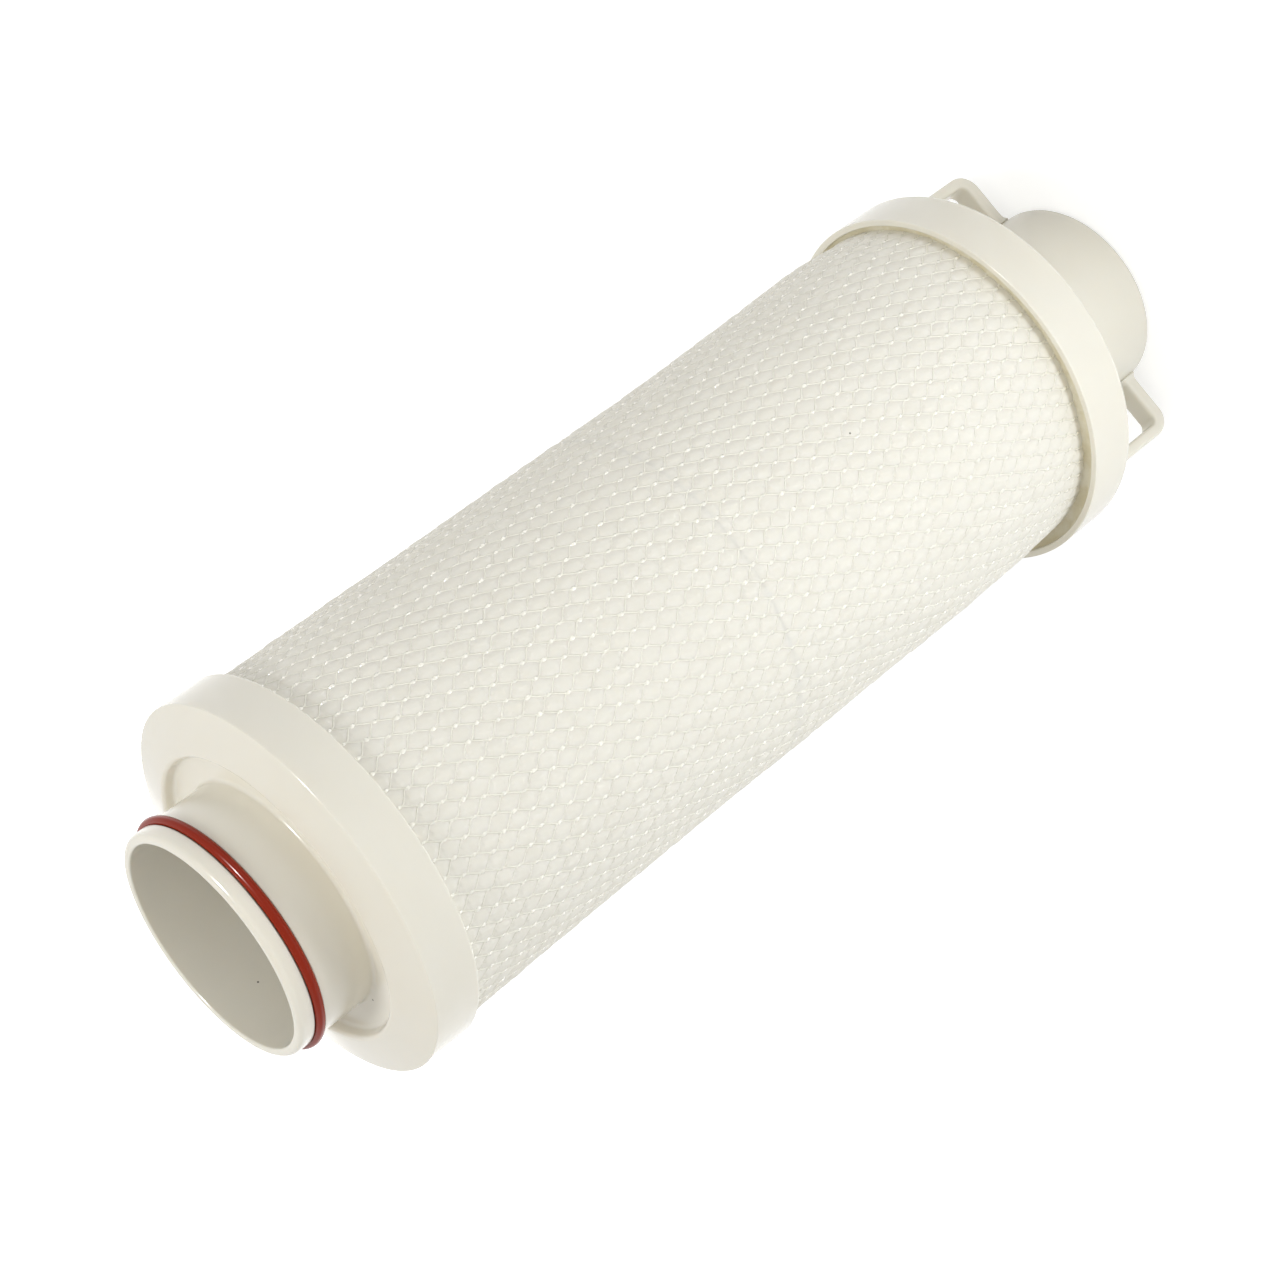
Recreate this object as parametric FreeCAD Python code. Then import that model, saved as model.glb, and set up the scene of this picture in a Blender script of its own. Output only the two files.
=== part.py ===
import FreeCAD, Part
import math
import os

os.makedirs("parts", exist_ok=True)

# Carbon filter cartridge, in millimetres. It stands on its closed end: Z = 0 is the boss's end face,
# +Z runs up the axis to the outlet spigot, and X runs through the two finger loops.

# Media between the two caps: the net's outer line
media_length = 357.5
media_radius = 77.8
media_outlet_swell = 0.7
media_outlet_taper = 75.0
media_bulge = 1.5
media_bulge_height = 26.0
media_bulge_taper = 95.0
media_neck_depth = 1.0
media_neck_height = 4.0
media_blend_radius = 14.0

# Outlet spigot
spigot_radius = 49.75
spigot_wall = 4.25
spigot_height = 36.3
spigot_lip_rounding = 2.5

# Closed end cap: boss, end plate and skirt
boss_step = 2.8
boss_height = 66.3
boss_wall = 4.0
boss_end_thickness = 4.5
boss_end_rounding = 4.0
boss_root_fillet = 2.0
closed_plate_thickness = 4.5
closed_bed_room = 4.2
closed_skirt_wall = 3.0
closed_skirt_height = 24.2
closed_edge_rounding = 3.0

# Finger loops on the closed end cap
loop_inset = 10.6
loop_end_inset = 5.6
loop_leg_thickness = 5.3
loop_bar_thickness = 6.8
loop_width = 12.0
loop_outer_corner = 9.0
loop_inner_corner = 4.0
loop_edge_rounding = 1.5
loop_root_fillet = 1.4

# Outlet end cap: band, shoulder, crest ring and trough
outlet_bed_room = 1.0
outlet_band_height = 21.0
outlet_skirt_wall = 3.0
outlet_plate_thickness = 5.0
outlet_edge_rounding = 1.6
crest_lean = 1.6
crest_height = 5.9
crest_rounding = 1.4
trough_width = 11.6
trough_height = 1.0

# O-ring and its groove
ring_section = 4.0
ring_below_lip = 9.2
ring_stand = 2.15
groove_side_room = 0.4
ring_seat_gap = 0.05

# Adhesive beds in both caps
bed_depth = 3.0
closed_bed_setback = 4.5
closed_bed_rounding = 1.5
outlet_bed_setback = 0.6

# Perforated core in two sections
core_step = 2.0
core_wall = 3.8
core_seat_gap = 0.2
core_rim_wall = 2.0
core_joint_length = 9.0
core_joint_gap = 0.1
core_window_width = 15.0
core_window_height = 28.0
core_window_columns = 8
core_window_rows = 5
core_end_band = 14.0

# Layers round the core
inner_wrap_thickness = 1.0
neck_fleece_thickness = 4.0
layer_gap = 0.1

# Hexagonal net: cells round the sleeve and rows along it
net_thickness = 0.9
net_cells_round = 12
net_rows = 9
net_strand = 4.6
net_end_band = 6.0

# Pads of fleece that bulge through the net's cells
pad_drop = 0.2
pad_side_gap = 0.3

# Small breaks on moulded edges and in moulded corners
small_break = 0.5

# Heights worked out from the sizes above
closed_mouth = boss_height + closed_skirt_height
closed_floor = boss_height + closed_plate_thickness
outlet_mouth = closed_mouth + media_length
outlet_edge = outlet_mouth + outlet_band_height
trough_floor = outlet_edge + trough_height
outlet_ceiling = trough_floor - outlet_plate_thickness
lip_end = outlet_edge + spigot_height
media_bottom = closed_floor + bed_depth
media_top = outlet_ceiling - bed_depth

# Radii worked out from the sizes above
spigot_bore = spigot_radius - spigot_wall
core_bore = spigot_bore - core_step
core_radius = core_bore + core_wall
core_seat = core_radius + core_seat_gap
core_rim = core_seat + core_rim_wall
inner_wrap_radius = core_seat + inner_wrap_thickness
media_outlet_radius = media_radius + media_outlet_swell
media_bulge_radius = media_radius + media_bulge
media_neck_radius = media_radius - media_neck_depth
carbon_radius = media_neck_radius - net_thickness - neck_fleece_thickness - layer_gap
closed_skirt_inner = media_neck_radius + closed_bed_room
closed_cap_radius = closed_skirt_inner + closed_skirt_wall
outlet_skirt_inner = media_outlet_radius + outlet_bed_room
outlet_cap_radius = outlet_skirt_inner + outlet_skirt_wall
trough_radius = spigot_radius + trough_width
crest_radius = trough_radius + crest_lean
boss_radius = core_radius - boss_step
loop_reach = closed_cap_radius - loop_inset


def rounded_wire(corners, place):
    """Closed wire through (a, b) or (a, b, rounding) corners, with tangent arcs at the rounded ones."""
    points = [place(corner[0], corner[1]) for corner in corners]
    starts, ends, middles = [], [], []
    for index, corner in enumerate(corners):
        here = points[index]
        rounding = corner[2] if len(corner) > 2 else 0
        if not rounding:
            starts.append(here)
            ends.append(here)
            middles.append(None)
            continue
        back = (points[index - 1] - here).normalize()
        ahead = (points[(index + 1) % len(points)] - here).normalize()
        half_angle = back.getAngle(ahead) / 2
        tangent_length = rounding / math.tan(half_angle)
        to_centre = (back + ahead).normalize()
        starts.append(here + back * tangent_length)
        ends.append(here + ahead * tangent_length)
        middles.append(here + to_centre * (rounding / math.sin(half_angle) - rounding))
    edges = []
    for index, middle in enumerate(middles):
        if middle is not None:
            edges.append(Part.Arc(starts[index], middle, ends[index]).toShape())
        following = starts[(index + 1) % len(starts)]
        edges.append(Part.LineSegment(ends[index], following).toShape())
    return Part.Wire(edges)


def turned(corners):
    """Solid of revolution about Z from (radius, height) or (radius, height, rounding) corners."""
    wire = rounded_wire(corners, lambda radius, height: FreeCAD.Vector(radius, 0, height))
    return Part.Face(wire).revolve(FreeCAD.Vector(0, 0, 0), FreeCAD.Vector(0, 0, 1), 360)


def media_skin(inset):
    """Corners of the media's outer line, bottom to top, drawn in by an inset."""
    bulge = closed_mouth + media_bulge_height
    neck = closed_mouth + media_neck_height
    return [
        (media_neck_radius - inset, media_bottom),
        (media_neck_radius - inset, neck, media_blend_radius),
        (media_bulge_radius - inset, bulge, media_blend_radius),
        (media_radius - inset, bulge + media_bulge_taper),
        (media_radius - inset, outlet_mouth - media_outlet_taper),
        (media_outlet_radius - inset, outlet_mouth),
        (media_outlet_radius - inset, media_top),
    ]


def loop_solid():
    """One finger loop on the +X side: a leg from the end plate and a bar to the boss, in one bent piece."""
    root = boss_height + closed_plate_thickness / 2
    boss_side = boss_radius - boss_wall / 2
    leg_inner = loop_reach - loop_leg_thickness
    bar_inner = loop_end_inset + loop_bar_thickness
    corners = [
        (boss_side, loop_end_inset),
        (loop_reach, loop_end_inset, loop_outer_corner),
        (loop_reach, root),
        (leg_inner, root),
        (leg_inner, bar_inner, loop_inner_corner),
        (boss_side, bar_inner),
    ]
    side = -loop_width / 2
    wire = rounded_wire(corners, lambda reach, height: FreeCAD.Vector(reach, side, height))
    bent = Part.Face(wire).extrude(FreeCAD.Vector(0, loop_width, 0))
    rims = [edge for edge in bent.Edges if is_loop_rim(edge, root, boss_side)]
    return bent.makeFillet(loop_edge_rounding, rims)


def is_loop_rim(edge, root, boss_side):
    """True for the loop's edges that follow its bend, and not for those buried in the cap."""
    box = edge.BoundBox
    across = box.YLength > loop_width / 2
    in_plate = box.ZMin > root - small_break
    in_boss = box.XMax < boss_side + small_break
    return not (across or in_plate or in_boss)


def is_loop_root(edge):
    """True for the edges where a loop meets the end plate or the boss's side."""
    box = edge.BoundBox
    beside = box.YMax < loop_width / 2 + small_break and box.YMin > -loop_width / 2 - small_break
    at_plate = abs(box.ZMin - boss_height) < 1e-4 and abs(box.ZMax - boss_height) < 1e-4
    near_leg = min(abs(box.XMin), abs(box.XMax)) > loop_reach - loop_leg_thickness - small_break
    near_bar = box.ZMin > loop_end_inset - small_break
    near_bar = near_bar and box.ZMax < loop_end_inset + loop_bar_thickness + small_break
    at_boss = max(abs(box.XMin), abs(box.XMax)) < boss_radius + small_break
    return beside and ((at_plate and near_leg) or (near_bar and at_boss))


def closed_end_cap():
    """Closed end cap: a hollow boss, an end plate and a skirt, with a finger loop on each side."""
    bore = boss_radius - boss_wall
    cap = turned([
        (0, 0),
        (boss_radius, 0, boss_end_rounding),
        (boss_radius, boss_height, boss_root_fillet),
        (closed_cap_radius, boss_height, closed_edge_rounding),
        (closed_cap_radius, closed_mouth, 2 * small_break),
        (closed_skirt_inner, closed_mouth, small_break),
        (closed_skirt_inner, closed_floor),
        (core_rim, closed_floor),
        (core_rim, media_bottom),
        (core_seat, media_bottom),
        (core_seat, closed_floor),
        (bore, closed_floor),
        (bore, boss_end_thickness, boss_root_fillet),
        (0, boss_end_thickness),
    ])
    loop = loop_solid()
    for turn in (0, 180):
        cap = cap.fuse(loop.rotated(FreeCAD.Vector(0, 0, 0), FreeCAD.Vector(0, 0, 1), turn))
    cap = cap.removeSplitter()
    roots = [edge for edge in cap.Edges if is_loop_root(edge)]
    return cap.makeFillet(loop_root_fillet, roots)


def outlet_end_cap():
    """Outlet end cap: band, sloped shoulder, crest ring, trough and the grooved spigot."""
    groove_floor = spigot_radius + ring_stand - ring_section - ring_seat_gap
    ring_height = lip_end - ring_below_lip
    groove_half = ring_section / 2 + groove_side_room
    return turned([
        (spigot_bore, lip_end, small_break),
        (spigot_radius, lip_end, spigot_lip_rounding),
        (spigot_radius, ring_height + groove_half),
        (groove_floor, ring_height + groove_half),
        (groove_floor, ring_height - groove_half),
        (spigot_radius, ring_height - groove_half),
        (spigot_radius, trough_floor, 2 * small_break),
        (trough_radius, trough_floor, 2 * small_break),
        (crest_radius, outlet_edge + crest_height, crest_rounding),
        (outlet_cap_radius, outlet_edge, outlet_edge_rounding),
        (outlet_cap_radius, outlet_mouth, 2 * small_break),
        (outlet_skirt_inner, outlet_mouth),
        (outlet_skirt_inner, outlet_ceiling),
        (core_rim, outlet_ceiling),
        (core_rim, media_top),
        (core_seat, media_top),
        (core_seat, outlet_ceiling),
        (spigot_bore, outlet_ceiling),
    ])


def outlet_o_ring():
    """Round-section O-ring on the floor of the spigot's groove."""
    centre_radius = spigot_radius + ring_stand - ring_section / 2
    centre = FreeCAD.Vector(0, 0, lip_end - ring_below_lip)
    return Part.makeTorus(centre_radius, ring_section / 2, centre)


def closed_end_glue_bed():
    """Adhesive on the closed plate, squeezed up round the neck of the media to just below the mouth."""
    neck = media_neck_radius + layer_gap
    bed_top = closed_mouth - closed_bed_setback
    return turned([
        (core_rim, closed_floor),
        (closed_skirt_inner, closed_floor),
        (closed_skirt_inner, bed_top),
        (neck, bed_top, closed_bed_rounding),
        (neck, media_bottom),
        (core_rim, media_bottom),
    ])


def outlet_glue_bed():
    """Adhesive under the outlet plate, with a thin ring round the end of the media."""
    neck = media_outlet_radius + layer_gap
    bed_bottom = outlet_mouth + outlet_bed_setback
    return turned([
        (core_rim, outlet_ceiling),
        (outlet_skirt_inner, outlet_ceiling),
        (outlet_skirt_inner, bed_bottom),
        (neck, bed_bottom),
        (neck, media_top),
        (core_rim, media_top),
    ])


def core_section(bottom, top, socket_below, spigot_above):
    """Moulded core tube with rows of windows, an optional socket below and an optional spigot above."""
    joint_radius = core_bore + core_wall / 2
    spigot_top = top + (core_joint_length if spigot_above else 0)
    corners = [(core_bore, spigot_top)]
    if spigot_above:
        corners += [(joint_radius, spigot_top), (joint_radius, top)]
    corners += [(core_radius, top), (core_radius, bottom)]
    if socket_below:
        socket = joint_radius + core_joint_gap
        depth = bottom + core_joint_length + core_joint_gap
        corners += [(socket, bottom), (socket, depth), (core_bore, depth)]
    else:
        corners += [(core_bore, bottom)]
    tube = turned(corners)
    first = bottom + core_end_band + core_window_height / 2
    last = top - core_end_band - core_window_height / 2
    pitch = (last - first) / (core_window_rows - 1)
    slots = []
    for row in range(core_window_rows):
        for column in range(core_window_columns // 2):
            slot = Part.makeBox(3 * core_radius, core_window_width, core_window_height)
            slot.translate(FreeCAD.Vector(
                -1.5 * core_radius, -core_window_width / 2, first + row * pitch - core_window_height / 2))
            turn = 360 * column / core_window_columns
            slots.append(slot.rotated(FreeCAD.Vector(0, 0, 0), FreeCAD.Vector(0, 0, 1), turn))
    return tube.cut(slots)


def core_lower():
    """Lower core section, on the closed plate inside its rim."""
    return core_section(closed_floor, (closed_floor + outlet_ceiling) / 2, False, True)


def core_upper():
    """Upper core section, over the lower one's spigot and up to the outlet plate inside its rim."""
    return core_section((closed_floor + outlet_ceiling) / 2, outlet_ceiling, True, False)


def layer(inner, outer):
    """Plain tube of media from one adhesive bed to the other."""
    return turned([(inner, media_bottom), (outer, media_bottom), (outer, media_top), (inner, media_top)])


def inner_fleece_wrap():
    """Thin fleece wound round the core."""
    return layer(core_seat, inner_wrap_radius)


def carbon_block():
    """Thick tube of bonded carbon."""
    return layer(inner_wrap_radius + layer_gap, carbon_radius)


def net_cell(width, height):
    """Radial prism on the +X side for one open cell, a hexagon with its points along the axis."""
    flank = height / 4
    half = width / 2
    inside = carbon_radius
    corners = [
        (0, -height / 2), (half, -flank), (half, flank),
        (0, height / 2), (-half, flank), (-half, -flank),
    ]
    wire = rounded_wire(corners, lambda across, along: FreeCAD.Vector(inside, across, along))
    reach = media_bulge_radius + net_strand - inside
    return Part.Face(wire).extrude(FreeCAD.Vector(reach, 0, 0))


def net_wall(outer_inset, inner_inset, strand):
    """Wall between two insets of the media's line, with the net's staggered rows of cells cut out."""
    wall = turned(media_skin(outer_inset) + media_skin(inner_inset)[::-1])
    bottom = closed_mouth + net_end_band
    top = outlet_mouth - net_end_band
    row_pitch = (top - bottom) / (net_rows + 1 / 3)
    cell_pitch = 2 * math.pi * media_radius / net_cells_round
    cell = net_cell(cell_pitch - strand, row_pitch * 4 / 3 - strand)
    cells = []
    for row in range(net_rows):
        middle = bottom + row_pitch * (row + 2 / 3)
        for column in range(net_cells_round):
            turn = 360 * (column + (row % 2) / 2) / net_cells_round
            placed = cell.rotated(FreeCAD.Vector(0, 0, 0), FreeCAD.Vector(0, 0, 1), turn)
            cells.append(placed.translated(FreeCAD.Vector(0, 0, middle)))
    return wall.cut(cells)


def netting_sleeve():
    """Extruded net: one thin wall with staggered rows of hexagonal cells."""
    return net_wall(0, net_thickness, net_strand)


def prefilter_fleece():
    """Outer fleece, necked in at the closed end, pressed in under the net and bulging through its cells."""
    inner = carbon_radius + layer_gap
    skin = media_skin(pad_drop)
    tube = turned([(inner, media_bottom)] + skin + [(inner, media_top)])
    pressed = net_wall(-net_thickness, net_thickness + layer_gap, net_strand + 2 * pad_side_gap)
    return tube.cut(pressed)


pieces = {
    "closed_end_cap": closed_end_cap,
    "closed_end_glue_bed": closed_end_glue_bed,
    "core_lower": core_lower,
    "core_upper": core_upper,
    "inner_fleece_wrap": inner_fleece_wrap,
    "carbon_block": carbon_block,
    "prefilter_fleece": prefilter_fleece,
    "netting_sleeve": netting_sleeve,
    "outlet_glue_bed": outlet_glue_bed,
    "outlet_end_cap": outlet_end_cap,
    "outlet_o_ring": outlet_o_ring,
}

for name, make in pieces.items():
    shape = make()
    shape.exportStep("parts/" + name + ".step")
    print(name, len(shape.Solids), shape.isValid(), round(shape.Volume))
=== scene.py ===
import math
import bpy
import numpy as np
from mathutils import Matrix, Vector


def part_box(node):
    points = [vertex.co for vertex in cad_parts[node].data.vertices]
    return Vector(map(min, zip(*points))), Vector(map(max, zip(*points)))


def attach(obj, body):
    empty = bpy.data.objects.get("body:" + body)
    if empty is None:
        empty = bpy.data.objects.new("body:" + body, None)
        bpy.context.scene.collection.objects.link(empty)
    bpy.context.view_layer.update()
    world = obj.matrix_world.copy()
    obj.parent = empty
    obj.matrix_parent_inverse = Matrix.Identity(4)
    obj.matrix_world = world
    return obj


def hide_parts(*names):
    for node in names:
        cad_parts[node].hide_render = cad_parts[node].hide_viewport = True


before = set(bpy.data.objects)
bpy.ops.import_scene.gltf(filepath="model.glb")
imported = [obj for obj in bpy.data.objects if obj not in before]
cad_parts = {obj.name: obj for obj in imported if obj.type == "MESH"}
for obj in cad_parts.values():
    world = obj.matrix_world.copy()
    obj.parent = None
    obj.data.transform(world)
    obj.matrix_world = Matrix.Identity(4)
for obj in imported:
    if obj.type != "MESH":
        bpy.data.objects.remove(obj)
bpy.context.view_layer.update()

# Carbon filter cartridge standing on its closed end.
# +Z runs up the axis to the outlet spigot and X runs through the finger loops.
print("stage: frame loaded")

# Sizes of pieces are in millimetres and become metres when a mesh is made. Sizes of the camera,
# the stage and the finishes' bumps are in metres.
mm = 0.001
tiny = 1e-12        # keeps a vector without length from dividing by zero


# Heights and reaches of the frame's nodes that several pieces share
def top(node):
    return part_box(node)[1].z / mm


def bottom(node):
    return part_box(node)[0].z / mm


def reach(node):
    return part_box(node)[1].x / mm


closedMouth, outletMouth = top("closed_end_cap"), bottom("outlet_end_cap")
lipEnd = top("outlet_end_cap")


# Camera at the photograph's viewing angle
camera = {
    "eye": (-0.0611, -0.9985, 0.8402),
    "aim": (-0.0057, 0.0003, 0.2845),
    "roll": 127.3,      # degrees, clockwise from upright
    "lens": 79.96,
    "sensor": 36.0,
    "clip": (0.05, 50),
}


def makeCamera(settings):
    data = bpy.data.cameras.new("photoCamera")
    data.lens = settings["lens"]
    data.sensor_width = settings["sensor"]
    data.clip_start, data.clip_end = settings["clip"]
    eye, aim = Vector(settings["eye"]), Vector(settings["aim"])
    ahead = (aim - eye).normalized()
    level = ahead.cross(Vector((0, 0, 1))).normalized()
    upright = level.cross(ahead)
    roll = math.radians(settings["roll"])
    up = upright * math.cos(roll) + level * math.sin(roll)
    right = ahead.cross(up)
    turn = Matrix((right, up, -ahead)).transposed().to_4x4()
    made = bpy.data.objects.new("photoCamera", data)
    made.matrix_world = Matrix.Translation(eye) @ turn
    bpy.context.scene.collection.objects.link(made)
    bpy.context.scene.camera = made


makeCamera(camera)
print("stage: camera placed")


# A shader socket that can stand in a Python expression
class Wire:
    def __init__(self, tree, socket):
        self.tree = tree
        self.socket = socket

    # Adds a node: its type, its settings, the values or wires of its inputs, and the output to follow
    def node(self, kind, settings, inputs, output=0):
        made = self.tree.nodes.new(kind)
        for key, value in settings.items():
            setattr(made, key, value)
        for key, value in inputs.items():
            if isinstance(value, Wire):
                self.tree.links.new(value.socket, made.inputs[key])
            else:
                made.inputs[key].default_value = value
        return Wire(self.tree, made.outputs[output])

    def maths(self, operation, *values):
        inputs = dict(enumerate(values))
        return self.node("ShaderNodeMath", {"operation": operation}, inputs)

    def __add__(self, other):
        return self.maths("ADD", self, other)

    def __radd__(self, other):
        return self.maths("ADD", other, self)

    def __sub__(self, other):
        return self.maths("SUBTRACT", self, other)

    def __rsub__(self, other):
        return self.maths("SUBTRACT", other, self)

    def __mul__(self, other):
        return self.maths("MULTIPLY", self, other)

    def __rmul__(self, other):
        return self.maths("MULTIPLY", other, self)

    # 0 below the first edge, 1 above the second, smooth between
    def step(self, low, high):
        settings = {"interpolation_type": "SMOOTHSTEP"}
        inputs = {"Value": self, "From Min": low, "From Max": high}
        return self.node("ShaderNodeMapRange", settings, inputs)

    # Blends two colours by this factor
    def blend(self, first, second):
        inputs = {"Factor": self, 6: first, 7: second}
        return self.node("ShaderNodeMix", {"data_type": "RGBA"}, inputs, 2)


# A new material: its Principled shader with fixed values, and patterns on the object's coordinates
class Finish:
    def __init__(self, name, fixed):
        self.material = bpy.data.materials.new(name)
        self.material.use_nodes = True
        tree = self.material.node_tree
        self.shader = tree.nodes["Principled BSDF"]
        self.start = Wire(tree, None)
        self.place = self.start.node("ShaderNodeTexCoord", {}, {}, "Object")
        for key, value in fixed.items():
            self.shader.inputs[key].default_value = value

    def noise(self, scale, detail, rough=0.5):
        inputs = {"Vector": self.place, "Scale": scale, "Detail": detail, "Roughness": rough}
        return self.start.node("ShaderNodeTexNoise", {}, inputs)

    # 1 inside a small round spot at a place on the object, 0 outside, with a soft rim
    def spot(self, centre, radius, rim):
        inputs = {0: self.place, 1: centre}
        away = self.start.node("ShaderNodeVectorMath", {"operation": "DISTANCE"}, inputs, "Value")
        return 1 - away.step(radius * (1 - rim), radius)

    def bump(self, height, distance, strength, below=None):
        inputs = {"Height": height, "Distance": distance, "Strength": strength}
        if below is not None:
            inputs["Normal"] = below
        return self.start.node("ShaderNodeBump", {}, inputs)

    # Roughness that a pattern changes both ways about a middle value
    def roughen(self, middle, pattern, change):
        self.set("Roughness", middle + (pattern - 0.5) * change)

    def set(self, name, wire):
        self.material.node_tree.links.new(wire.socket, self.shader.inputs[name])


# In the finishes below, a pattern is (scale per metre, detail) or (scale, detail, roughness), a
# range is the stretch of a pattern over which one colour turns into the other, and a bump is
# (depth in metres, strength). The values under "fixed" are the same all over the surface.

# Specks of dirt: where each lies and its radius, in millimetres
dirt = {
    "colour": (0.10, 0.085, 0.06, 1),
    "rim": 0.4,         # share of the radius over which a speck fades
    "outletCap": [((-18.9, 41.4, 484.7), 0.5), ((-51.9, -4.1, 470.0), 0.5)],
    "media": [((4.6, -78.2, 196.0), 0.5)],
}


def addSpecks(finish, colour, specks):
    for centre, radius in specks:
        place = tuple(value * mm for value in centre)
        colour = finish.spot(place, radius * mm, dirt["rim"]).blend(colour, dirt["colour"])
    return colour


# Moulded polypropylene of both end caps: satin, cream white, with faint flow and handling marks
capPlastic = {
    "base": (0.797, 0.768, 0.678, 1),
    "warm": (0.775, 0.732, 0.622, 1),
    "cloud": (14.0, 3.0),
    "cloudRange": (0.35, 0.75),
    "cloudShare": 0.55,
    "roughness": 0.16,
    "smear": (60.0, 4.0),
    "smearChange": 0.12,
    "ripple": (45.0, 1.0),
    "rippleBump": (0.00025, 0.35),
    "grain": (2600.0, 2.0),
    "grainBump": (0.00003, 0.25),
    "fixed": {
        "IOR": 1.49,
        "Specular IOR Level": 0.38,
        "Subsurface Weight": 0.3,
        "Subsurface Scale": 0.003,
        "Subsurface Radius": (1.0, 0.9, 0.75),
    },
}


def makeCapPlastic(name, settings, specks):
    finish = Finish(name, settings["fixed"])
    cloud = finish.noise(*settings["cloud"]).step(*settings["cloudRange"])
    colour = (cloud * settings["cloudShare"]).blend(settings["base"], settings["warm"])
    finish.set("Base Color", addSpecks(finish, colour, specks))
    finish.roughen(settings["roughness"], finish.noise(*settings["smear"]), settings["smearChange"])
    coarse = finish.bump(finish.noise(*settings["ripple"]), *settings["rippleBump"])
    fine = finish.bump(finish.noise(*settings["grain"]), *settings["grainBump"], coarse)
    finish.set("Normal", fine)
    return finish.material


# Fleece: matte white fibres laid in all directions
fleeceCloth = {
    "base": (0.828, 0.801, 0.720, 1),
    "shade": (0.793, 0.762, 0.672, 1),
    "tufts": (120.0, 3.0),
    "tuftRange": (0.3, 0.8),
    "shadeShare": 0.6,
    "tuftBump": (0.0006, 0.2),
    "fibres": (900.0, 4.0, 0.7),
    "fibreBump": (0.00025, 0.35),
    "fixed": {
        "Roughness": 0.95,
        "Sheen Weight": 0.08,
        "Sheen Roughness": 0.6,
        "Sheen Tint": (1.0, 0.95, 0.86, 1),
        "Subsurface Weight": 0.5,
        "Subsurface Scale": 0.002,
        "Subsurface Radius": (1.0, 0.95, 0.85),
    },
}


def makeFleeceCloth(settings):
    finish = Finish("fleeceCloth", settings["fixed"])
    tufts = finish.noise(*settings["tufts"])
    shade = tufts.step(*settings["tuftRange"]) * settings["shadeShare"]
    colour = shade.blend(settings["base"], settings["shade"])
    finish.set("Base Color", addSpecks(finish, colour, dirt["media"]))
    coarse = finish.bump(tufts, *settings["tuftBump"])
    fine = finish.bump(finish.noise(*settings["fibres"]), *settings["fibreBump"], coarse)
    finish.set("Normal", fine)
    return finish.material


# Net: clear-white extruded polyethylene, satin on the strands and polished on the knots. The knots' base
# colour is lighter than the strands': partly a milkier tone of the plastic, partly a painted highlight for
# the knots' bright spots.
netPlastic = {
    "worn": (0.825, 0.798, 0.705, 1),
    "patches": (240.0, 2.0),
    "patchRange": (0.4, 0.7),
    "roughnessChange": 0.12,
    "strand": {
        "name": "netStrandPlastic",
        "base": (0.862, 0.836, 0.742, 1),
        "roughness": 0.4,
        "fixed": {"IOR": 1.51, "Specular IOR Level": 0.25},
    },
    "knot": {
        "name": "netKnotPlasticPaintedHighlight",
        # lighter than the strands' base: partly milkier plastic, partly a painted highlight on the knots
        "base": (0.930, 0.895, 0.780, 1),
        "roughness": 0.16,
        "fixed": {
            "IOR": 1.51,
            "Specular IOR Level": 0.75,
            "Coat Weight": 1.0,
            "Coat Roughness": 0.12,
            "Coat IOR": 2.0,
        },
    },
}


def makeNetPlastic(settings, part):
    finish = Finish(part["name"], part["fixed"])
    patches = finish.noise(*settings["patches"])
    worn = patches.step(*settings["patchRange"])
    finish.set("Base Color", worn.blend(part["base"], settings["worn"]))
    finish.roughen(part["roughness"], patches, settings["roughnessChange"])
    return finish.material


# O-ring: red silicone rubber with a faint bloom
ringRubber = {
    "base": (0.250, 0.015, 0.001, 1),
    "bloom": (0.272, 0.022, 0.003, 1),
    "patches": (90.0, 4.0),
    "bloomRange": (0.5, 0.8),
    "bloomShare": 0.6,
    "roughness": 0.22,
    "bloomChange": 0.2,
    "grain": (1400.0, 2.0),
    "grainBump": (0.00003, 0.4),
    "fixed": {"IOR": 1.45, "Specular IOR Level": 0.2},
}


def makeRingRubber(settings):
    finish = Finish("ringRubber", settings["fixed"])
    patches = finish.noise(*settings["patches"])
    bloom = patches.step(*settings["bloomRange"]) * settings["bloomShare"]
    finish.set("Base Color", bloom.blend(settings["base"], settings["bloom"]))
    finish.roughen(settings["roughness"], patches, settings["bloomChange"])
    finish.set("Normal", finish.bump(finish.noise(*settings["grain"]), *settings["grainBump"]))
    return finish.material


# Adhesive beds: yellowed, lumpy resin
bedResin = {
    "base": (0.66, 0.60, 0.42, 1),
    "pale": (0.76, 0.72, 0.58, 1),
    "lumps": (110.0, 4.0, 0.6),
    "paleRange": (0.35, 0.7),
    "roughness": 0.4,
    "roughnessChange": 0.3,
    "lumpBump": (0.0008, 0.6),
    "fixed": {"IOR": 1.5},
}


def makeBedResin(settings):
    finish = Finish("bedResin", settings["fixed"])
    lumps = finish.noise(*settings["lumps"])
    pale = lumps.step(*settings["paleRange"])
    finish.set("Base Color", pale.blend(settings["base"], settings["pale"]))
    finish.roughen(settings["roughness"], lumps, settings["roughnessChange"])
    finish.set("Normal", finish.bump(lumps, *settings["lumpBump"]))
    return finish.material


# Core: natural polypropylene, a little greyer than the caps
corePlastic = {
    "base": (0.72, 0.71, 0.66, 1),
    "dull": (0.64, 0.63, 0.58, 1),
    "cloud": (30.0, 3.0),
    "cloudRange": (0.35, 0.7),
    "roughness": 0.45,
    "smear": (90.0, 3.0),
    "smearChange": 0.15,
    "grain": (1800.0, 2.0),
    "grainBump": (0.00004, 0.3),
    "fixed": {"IOR": 1.49},
}


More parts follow.
